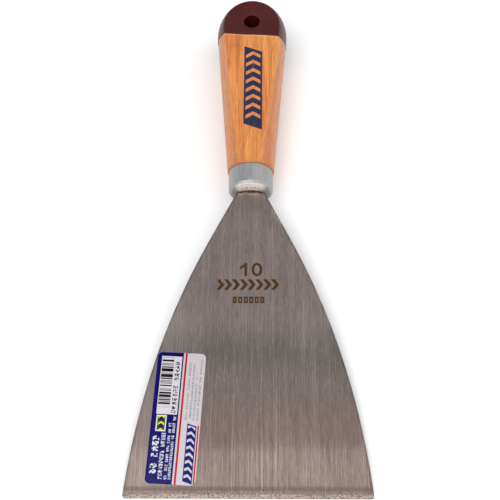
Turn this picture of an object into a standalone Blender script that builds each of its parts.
"""Forged stopping knife, 100 mm: blade with its tang, ferrule, wooden handle, dipped butt and price label.

Every piece is modelled in the knife's own frame, in metres: +Y runs from the cutting edge to the butt,
+X across the blade, +Z out of the blade's front face, with the origin at the middle of the edge.
The whole knife then hangs under one empty, which lays it on its back on a table at Z = 0.
"""

import math

import bmesh
import bpy
from mathutils import Matrix

# Overall sizes
TOTAL_LENGTH = 0.250
BLADE_WIDTH = 0.100
BLADE_LENGTH = 0.139
GAP = 0.0003

# Blade: flanks that start almost parallel at the edge, follow one large arc and run straight to the neck
EDGE_SPLAY = math.radians(4.9)
FLANK_ANGLE = math.radians(25.6)
FLANK_ARC_RADIUS = 0.325
FLANK_ARC_STEPS = 14
CORNER_RADIUS = 0.001
EDGE_THICKNESS = 0.0009
NECK_THICKNESS = 0.0026
BEVEL_LENGTH = 0.0036
BEVEL_DEPTH = 0.00045
EDGE_CHAMFER = 0.00018

# Tang, inside the ferrule and the handle
TANG_LENGTH = 0.065
TANG_ROOT_WIDTH = 0.0084
TANG_TIP_WIDTH = 0.0050
TANG_TIP_THICKNESS = 0.0018

# Ferrule: a drawn cup with an oval slot in its end
FERRULE_RADIUS = 0.01027
FERRULE_WALL = 0.0008
FERRULE_LENGTH = 0.0106
FERRULE_CORNER = 0.0017
FERRULE_INNER_CORNER = 0.0006
SLOT_HALF_WIDTH = 0.0052
SLOT_HALF_HEIGHT = 0.0030

# Handle: a straight turned taper with an egg-shaped end, milled flat front and back
SHOULDER_RADIUS = 0.0109
SHOULDER_ROUND = 0.0007
END_RADIUS = 0.01735
END_LENGTH = 0.0196
FLAT_HALF_THICKNESS = 0.0105
HANG_HOLE_RADIUS = 0.0040
HANG_HOLE_FROM_END = 0.0173

# Dipped coat on the butt, drawn thicker than the real film so that it is a solid of its own.
# The handle hung at a slant in the bath, so the dip line lies nearer the blade on the front flat.
COAT_START = 0.2256
COAT_LEAN = math.radians(7.5)
COAT_PROUD = 0.00015
COAT_THICKNESS = 0.00045

# Label on the front of the blade
LABEL_WIDTH = 0.0204
LABEL_LENGTH = 0.0554
LABEL_THICKNESS = 0.00025
LABEL_CORNER = 0.0020
LABEL_CENTRE = (-0.0298, 0.0330)
LABEL_TURN = math.radians(-2.9)

# How finely round shapes are drawn
TURNED_SIDES = 48
BORE_SIDES = 32
SLOT_SIDES = 32
DOME_STEPS = 9
CORNER_STEPS = 3
CUT_MARGIN = 0.010
SMOOTH_LIMIT = math.radians(28)

# Places along the knife, worked out from the sizes above
FERRULE_START = BLADE_LENGTH + GAP
SHOULDER_Y = FERRULE_START + FERRULE_LENGTH + GAP
TENON_START = FERRULE_START + FERRULE_WALL + GAP
TENON_RADIUS = FERRULE_RADIUS - FERRULE_WALL - GAP
END_CENTRE_Y = TOTAL_LENGTH - COAT_PROUD - END_LENGTH
HANG_HOLE_Y = TOTAL_LENGTH - HANG_HOLE_FROM_END
COAT_INSET = COAT_THICKNESS - COAT_PROUD + GAP

COLOURS = {
    "blade": ((0.36, 0.33, 0.31), 0.34, 1.0),
    "ferrule": ((0.52, 0.54, 0.55), 0.42, 1.0),
    "handle": ((0.72, 0.31, 0.10), 0.38, 0.0),
    "butt_coat": ((0.095, 0.024, 0.028), 0.34, 0.0),
    "label": ((0.62, 0.60, 0.64), 0.45, 0.0),
}


def clear_scene():
    for obj in list(bpy.data.objects):
        bpy.data.objects.remove(obj, do_unlink=True)


def solid(name, rings):
    """Closed solid through rings of points of equal count. A ring of one point is a pole; an open end is capped."""
    shape = bmesh.new()
    rows = [[shape.verts.new(point) for point in ring] for ring in rings]
    for near, far in zip(rows, rows[1:]):
        count = max(len(near), len(far))
        for i in range(count):
            following = (i + 1) % count
            corners = [near[i % len(near)], near[following % len(near)]]
            corners += [far[following % len(far)], far[i % len(far)]]
            shape.faces.new(list(dict.fromkeys(corners)))
    for end in (rows[0], rows[-1]):
        if len(end) > 2:
            shape.faces.new(end)
    bmesh.ops.recalc_face_normals(shape, faces=shape.faces)
    mesh = bpy.data.meshes.new(name)
    shape.to_mesh(mesh)
    shape.free()
    obj = bpy.data.objects.new(name, mesh)
    bpy.context.scene.collection.objects.link(obj)
    return obj


def oval(half_x, half_z, y, sides):
    """Ring of points on an ellipse across the knife at y."""
    turns = [2 * math.pi * i / sides for i in range(sides)]
    return [(half_x * math.cos(turn), y, half_z * math.sin(turn)) for turn in turns]


def turned(name, profile):
    """Solid of revolution about the knife's axis through (radius, y) points; radius 0 is a pole."""
    rings = []
    for radius, y in profile:
        rings.append(oval(radius, radius, y, TURNED_SIDES) if radius > 0 else [(0, y, 0)])
    return solid(name, rings)


def upright_cylinder(name, radius, y, half_height):
    """Cylinder along the knife's Z axis, for the hang hole."""
    turns = [2 * math.pi * i / BORE_SIDES for i in range(BORE_SIDES)]
    circle = [(radius * math.cos(turn), y + radius * math.sin(turn)) for turn in turns]
    return solid(name, [[(px, py, side * half_height) for px, py in circle] for side in (-1, 1)])


def block(name, near_y, far_y, half_thickness, lean=0.0):
    """Block across the knife, wider than the handle; its near end leans by this angle from square."""
    half_width = END_RADIUS + CUT_MARGIN
    shift = half_thickness * math.tan(lean)
    outline = [(near_y - shift, half_thickness), (far_y, half_thickness)]
    outline += [(far_y, -half_thickness), (near_y + shift, -half_thickness)]
    return solid(name, [[(side * half_width, y, z) for y, z in outline] for side in (-1, 1)])


def carve(target, cutter, operation="DIFFERENCE"):
    """Applies an exact Boolean to the target, then removes the cutter."""
    boolean = target.modifiers.new("carve", "BOOLEAN")
    boolean.operation = operation
    boolean.object = cutter
    bpy.context.view_layer.update()
    graph = bpy.context.evaluated_depsgraph_get()
    shaped = bpy.data.meshes.new_from_object(target.evaluated_get(graph))
    target.modifiers.remove(boolean)
    target.data = shaped
    bpy.data.objects.remove(cutter)


def arc(centre, radius, start, end, steps):
    """(radius, y) points on an arc of a turned profile; the angles are measured from +radius towards +y."""
    across, along = centre
    turns = [start + (end - start) * i / steps for i in range(steps + 1)]
    return [(across + radius * math.cos(turn), along + radius * math.sin(turn)) for turn in turns]


# ---------------------------------------------------------------- blade and tang


def blade_half_width(y):
    """The arc from the edge, then its tangent, which runs straight to the neck."""
    centre_x = BLADE_WIDTH / 2 - FLANK_ARC_RADIUS * math.cos(EDGE_SPLAY)
    centre_y = -FLANK_ARC_RADIUS * math.sin(EDGE_SPLAY)
    tangent_y = centre_y + FLANK_ARC_RADIUS * math.sin(FLANK_ANGLE)
    reach = min(y, tangent_y) - centre_y
    half_width = centre_x + math.sqrt(FLANK_ARC_RADIUS**2 - reach**2)
    half_width -= max(0.0, y - tangent_y) * math.tan(FLANK_ANGLE)
    corner_y = min(y, CORNER_RADIUS)
    half_width -= CORNER_RADIUS - math.sqrt(CORNER_RADIUS**2 - (CORNER_RADIUS - corner_y) ** 2)
    return half_width


def blade_half_thickness(y):
    """Both faces are flat and open out evenly from the edge to the neck."""
    return (EDGE_THICKNESS + (NECK_THICKNESS - EDGE_THICKNESS) * y / BLADE_LENGTH) / 2


def plate_section(y, half_width, top, bottom):
    """Rectangular section with small chamfers, as a ring of eight points."""
    chamfer = min(EDGE_CHAMFER, (top - bottom) / 4)
    corners = [(half_width - chamfer, top), (half_width, top - chamfer)]
    corners += [(half_width, bottom + chamfer), (half_width - chamfer, bottom)]
    right = [(x, y, z) for x, z in corners]
    left = [(-x, y, z) for x, z in reversed(corners)]
    return right + left


def tang_sections(clearance):
    """The tang's sections, each grown by the clearance, from its root to its tip."""
    sections = []
    for along in (0.0, 1.0):
        y = BLADE_LENGTH + along * (TANG_LENGTH + clearance)
        half_width = (TANG_ROOT_WIDTH + along * (TANG_TIP_WIDTH - TANG_ROOT_WIDTH)) / 2 + clearance
        half_height = (NECK_THICKNESS + along * (TANG_TIP_THICKNESS - NECK_THICKNESS)) / 2 + clearance
        sections.append(plate_section(y, half_width, half_height, -half_height))
    return sections


def make_blade():
    corner_stations = [CORNER_RADIUS * part for part in (0.0, 0.3, 1.0)]
    arc_end = FLANK_ARC_RADIUS * (math.sin(FLANK_ANGLE) - math.sin(EDGE_SPLAY))
    arc_stations = [arc_end * i / FLANK_ARC_STEPS for i in range(1, FLANK_ARC_STEPS + 1)]
    rings = []
    for y in corner_stations + [BEVEL_LENGTH] + arc_stations + [BLADE_LENGTH]:
        half_thickness = blade_half_thickness(y)
        bevel = BEVEL_DEPTH * max(0.0, 1 - y / BEVEL_LENGTH)
        rings.append(plate_section(y, blade_half_width(y), half_thickness - bevel, -half_thickness))
    return solid("blade", rings + tang_sections(0.0))


# ---------------------------------------------------------------- ferrule


def make_ferrule():
    """Cup that opens towards the handle, turned from the middle of its end face round to the inside."""
    start, end = FERRULE_START, FERRULE_START + FERRULE_LENGTH
    inner_radius = FERRULE_RADIUS - FERRULE_WALL
    outer_corner = (FERRULE_RADIUS - FERRULE_CORNER, start + FERRULE_CORNER)
    inner_corner = (inner_radius - FERRULE_INNER_CORNER, start + FERRULE_WALL + FERRULE_INNER_CORNER)
    profile = [(0, start)]
    profile += arc(outer_corner, FERRULE_CORNER, -math.pi / 2, 0, CORNER_STEPS + 1)
    profile += [(FERRULE_RADIUS, end), (inner_radius, end)]
    profile += arc(inner_corner, FERRULE_INNER_CORNER, 0, -math.pi / 2, CORNER_STEPS)
    profile += [(0, start + FERRULE_WALL)]
    ferrule = turned("ferrule", profile)
    slot_ends = (start - CUT_MARGIN, start + FERRULE_LENGTH / 2)
    slot = solid("slot", [oval(SLOT_HALF_WIDTH, SLOT_HALF_HEIGHT, y, SLOT_SIDES) for y in slot_ends])
    carve(ferrule, slot)
    return ferrule


# ---------------------------------------------------------------- handle and its dipped butt


def end_points(radius, length):
    """(radius, y) points over the egg-shaped end, from where the taper touches it to the pole."""
    slope = (END_RADIUS - SHOULDER_RADIUS) / (END_CENTRE_Y - SHOULDER_Y)
    first = -math.atan(slope * END_LENGTH / END_RADIUS)
    turns = [first + (math.pi / 2 - first) * i / DOME_STEPS for i in range(DOME_STEPS)]
    curve = [(radius * math.cos(turn), END_CENTRE_Y + length * math.sin(turn)) for turn in turns]
    return curve + [(0, END_CENTRE_Y + length)]


def taper_point(y, inset):
    """(radius, y) on the handle's taper, moved inwards by the inset."""
    slope = (END_RADIUS - SHOULDER_RADIUS) / (END_CENTRE_Y - SHOULDER_Y)
    return (SHOULDER_RADIUS + slope * (y - SHOULDER_Y) - inset, y)


def handle_form(name, lead, inset):
    """The lead's profile points, then the handle's taper and end moved inwards by the inset, with both flats."""
    form = turned(name, lead + end_points(END_RADIUS - inset, END_LENGTH - inset))
    first_y = lead[0][1] - CUT_MARGIN
    carve(form, block("flats", first_y, TOTAL_LENGTH + CUT_MARGIN, FLAT_HALF_THICKNESS - inset), "INTERSECT")
    return form


def butt_form(name, start, inset):
    """The butt end alone, from a square start."""
    return handle_form(name, [(0, start), taper_point(start, inset)], inset)


def beyond_dip_line(name, offset):
    """Everything past the slanted dip line, moved along the handle by the offset."""
    return block(name, COAT_START + offset, TOTAL_LENGTH + CUT_MARGIN, END_RADIUS + CUT_MARGIN, COAT_LEAN)


def make_handle():
    round_centre = (SHOULDER_RADIUS - SHOULDER_ROUND, SHOULDER_Y + SHOULDER_ROUND)
    lead = [(0, TENON_START), (TENON_RADIUS, TENON_START), (TENON_RADIUS, SHOULDER_Y)]
    lead += arc(round_centre, SHOULDER_ROUND, -math.pi / 2, 0, CORNER_STEPS)
    handle = handle_form("handle", lead, 0.0)
    carve(handle, beyond_dip_line("dipped", 0.0))
    carve(handle, butt_form("inner_butt", COAT_START - CUT_MARGIN, COAT_INSET), "UNION")
    carve(handle, solid("socket", tang_sections(GAP)))
    bore_radius = HANG_HOLE_RADIUS + COAT_THICKNESS + GAP
    carve(handle, upright_cylinder("bore", bore_radius, HANG_HOLE_Y, END_RADIUS))
    return handle


def make_butt_coat():
    """Film over the butt and through the hang hole, from the dip line to the end."""
    coat = butt_form("butt_coat", COAT_START - CUT_MARGIN, -COAT_PROUD)
    carve(coat, beyond_dip_line("dipped", GAP), "INTERSECT")
    core = butt_form("core", COAT_START - 2 * CUT_MARGIN, COAT_THICKNESS - COAT_PROUD)
    lining_radius = HANG_HOLE_RADIUS + COAT_THICKNESS
    carve(core, upright_cylinder("lining", lining_radius, HANG_HOLE_Y, END_RADIUS))
    carve(coat, core)
    carve(coat, upright_cylinder("bore", HANG_HOLE_RADIUS, HANG_HOLE_Y, END_RADIUS))
    return coat


# ---------------------------------------------------------------- label


def make_label():
    """Thin card with round corners, laid on the blade's front face and turned a little out of line."""
    corner_x = LABEL_WIDTH / 2 - LABEL_CORNER
    corner_y = LABEL_LENGTH / 2 - LABEL_CORNER
    outline = []
    for quarter, (side_x, side_y) in enumerate(((1, 1), (-1, 1), (-1, -1), (1, -1))):
        first = quarter * math.pi / 2
        outline += arc(
            (side_x * corner_x, side_y * corner_y), LABEL_CORNER, first, first + math.pi / 2, CORNER_STEPS
        )
    label = solid("label", [[(x, y, z) for x, y in outline] for z in (0.0, LABEL_THICKNESS)])
    centre_x, centre_y = LABEL_CENTRE
    face_slope = math.atan((NECK_THICKNESS - EDGE_THICKNESS) / (2 * BLADE_LENGTH))
    place = Matrix.Translation((centre_x, centre_y, blade_half_thickness(centre_y) + GAP))
    place = place @ Matrix.Rotation(face_slope, 4, "X") @ Matrix.Rotation(LABEL_TURN, 4, "Z")
    label.data.transform(place)
    return label


# ---------------------------------------------------------------- finish and rest pose


def add_finish(obj):
    colour, roughness, metallic = COLOURS[obj.name]
    material = bpy.data.materials.new(obj.name)
    material.use_nodes = True
    shader = material.node_tree.nodes["Principled BSDF"]
    shader.inputs["Base Color"].default_value = (*colour, 1.0)
    shader.inputs["Roughness"].default_value = roughness
    shader.inputs["Metallic"].default_value = metallic
    obj.data.materials.clear()
    obj.data.materials.append(material)
    obj.data.shade_smooth()
    obj.data.set_sharp_from_angle(angle=SMOOTH_LIMIT)


def rest_frame():
    """Empty that lays the knife on its back: the cutting edge and the ferrule's near corner touch Z = 0."""
    back_of_edge = EDGE_THICKNESS / 2
    tilt = math.atan2(FERRULE_RADIUS - back_of_edge, FERRULE_START + FERRULE_CORNER)
    far_end = END_CENTRE_Y * math.cos(tilt) + END_LENGTH + COAT_PROUD
    frame = bpy.data.objects.new("rest_frame", None)
    bpy.context.scene.collection.objects.link(frame)
    frame.location = (0.0, -far_end / 2, back_of_edge * math.cos(tilt))
    frame.rotation_euler = (tilt, 0.0, 0.0)
    return frame


def main():
    clear_scene()
    frame = rest_frame()
    for piece in (make_blade(), make_ferrule(), make_handle(), make_butt_coat(), make_label()):
        add_finish(piece)
        piece.parent = frame


main()
